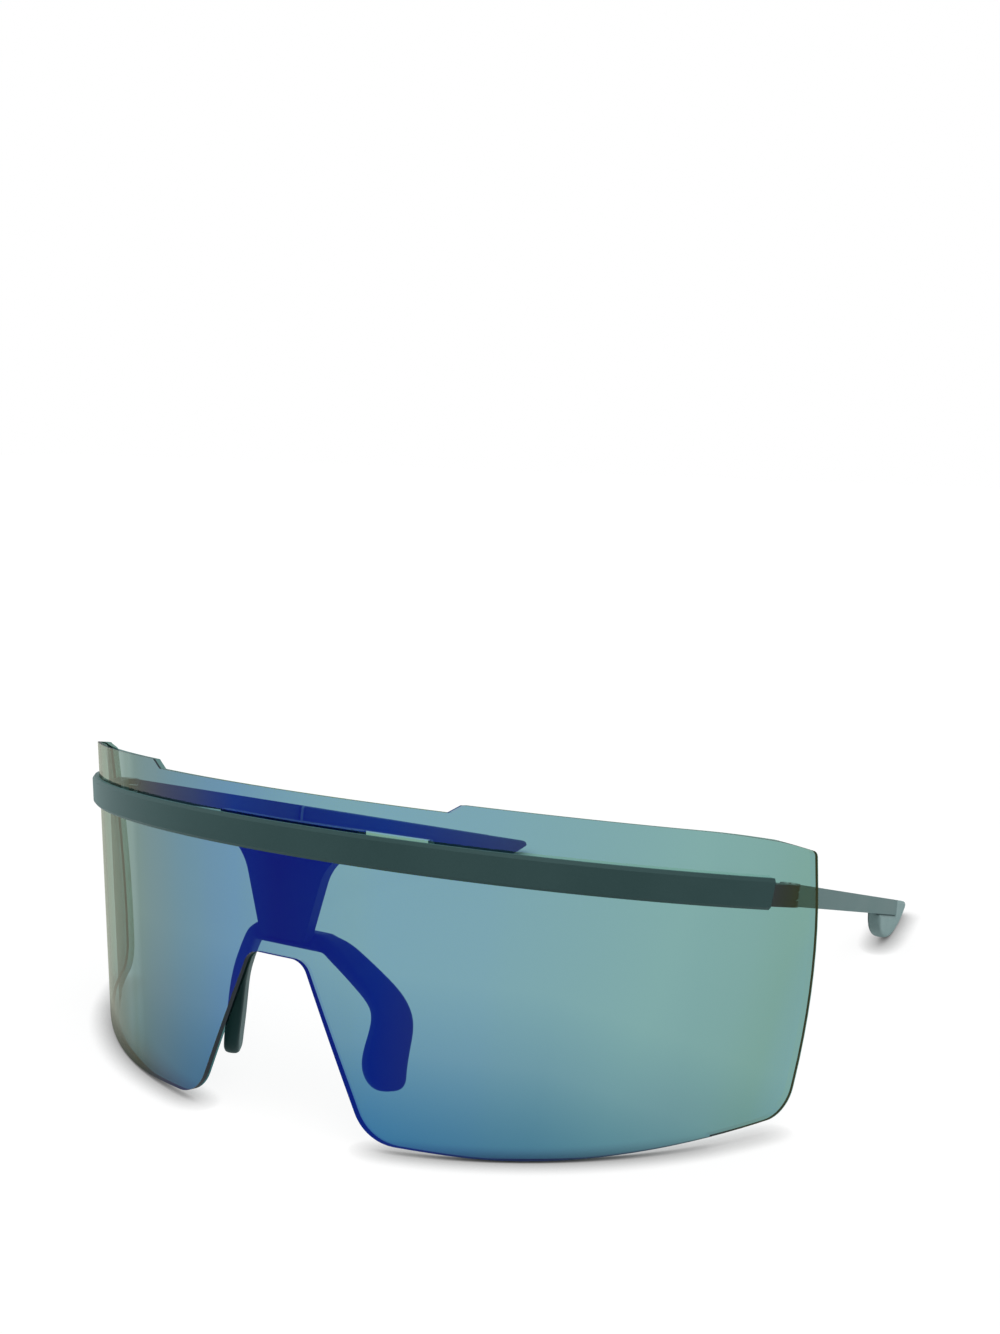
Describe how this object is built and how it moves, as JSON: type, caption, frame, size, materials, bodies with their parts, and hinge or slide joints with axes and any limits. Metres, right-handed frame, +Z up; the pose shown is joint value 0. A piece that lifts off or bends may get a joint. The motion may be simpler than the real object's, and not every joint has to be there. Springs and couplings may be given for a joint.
{
  "type": "shield sunglasses",
  "caption": "Wraparound shield sunglasses: one mirrored lens under a slim brow bar, folding strip temples with rubber tips and a rubber nose saddle.",
  "frame": {"origin": "middle of the part's outline on the surface that it lies on, as it rests on the lens lobes and the temple tips with the temples open", "axes": "+Z up from that surface, +X towards the wearer's left, +Y backwards to the temple tips"},
  "size_m": [0.1462, 0.1754, 0.0556],
  "materials": {
    "mirror_lens": "blue-green mirror coating on tinted polycarbonate",
    "frame_paint": "satin dark teal paint",
    "soft_rubber": "matt dark teal rubber",
    "bright_steel": "plain steel",
    "nylon": "natural nylon"
  },
  "bodies": {
    "front": {"shield_lens": "mirror_lens", "brow_bar": "frame_paint", "bar_posts": "bright_steel", "left_lens_bushings": "nylon", "right_lens_bushings": "nylon", "bridge_lens_bushings": "nylon", "left_end_screws": "bright_steel", "right_end_screws": "bright_steel", "bridge_screws": "bright_steel", "left_end_block": "frame_paint", "right_end_block": "frame_paint", "left_hinge_screw": "bright_steel", "right_hinge_screw": "bright_steel", "left_hinge_washers": "nylon", "right_hinge_washers": "nylon", "nose_bracket": "frame_paint", "nose_saddle": "soft_rubber"},
    "left_temple": {"left_temple_arm": "frame_paint", "left_temple_tip": "soft_rubber"},
    "right_temple": {"right_temple_arm": "frame_paint", "right_temple_tip": "soft_rubber"}
  },
  "joints": [
    {"name": "left_temple_fold", "type": "hinge", "parent": "front", "child": "left_temple", "pos_m": [0.06846, -0.0436, 0.03906], "axis": [0, 0.1874, 0.9823], "range_deg": [0, 72]},
    {"name": "right_temple_fold", "type": "hinge", "parent": "front", "child": "right_temple", "pos_m": [-0.06846, -0.0436, 0.03906], "axis": [0, -0.1874, -0.9823], "range_deg": [0, 58]}
  ]
}
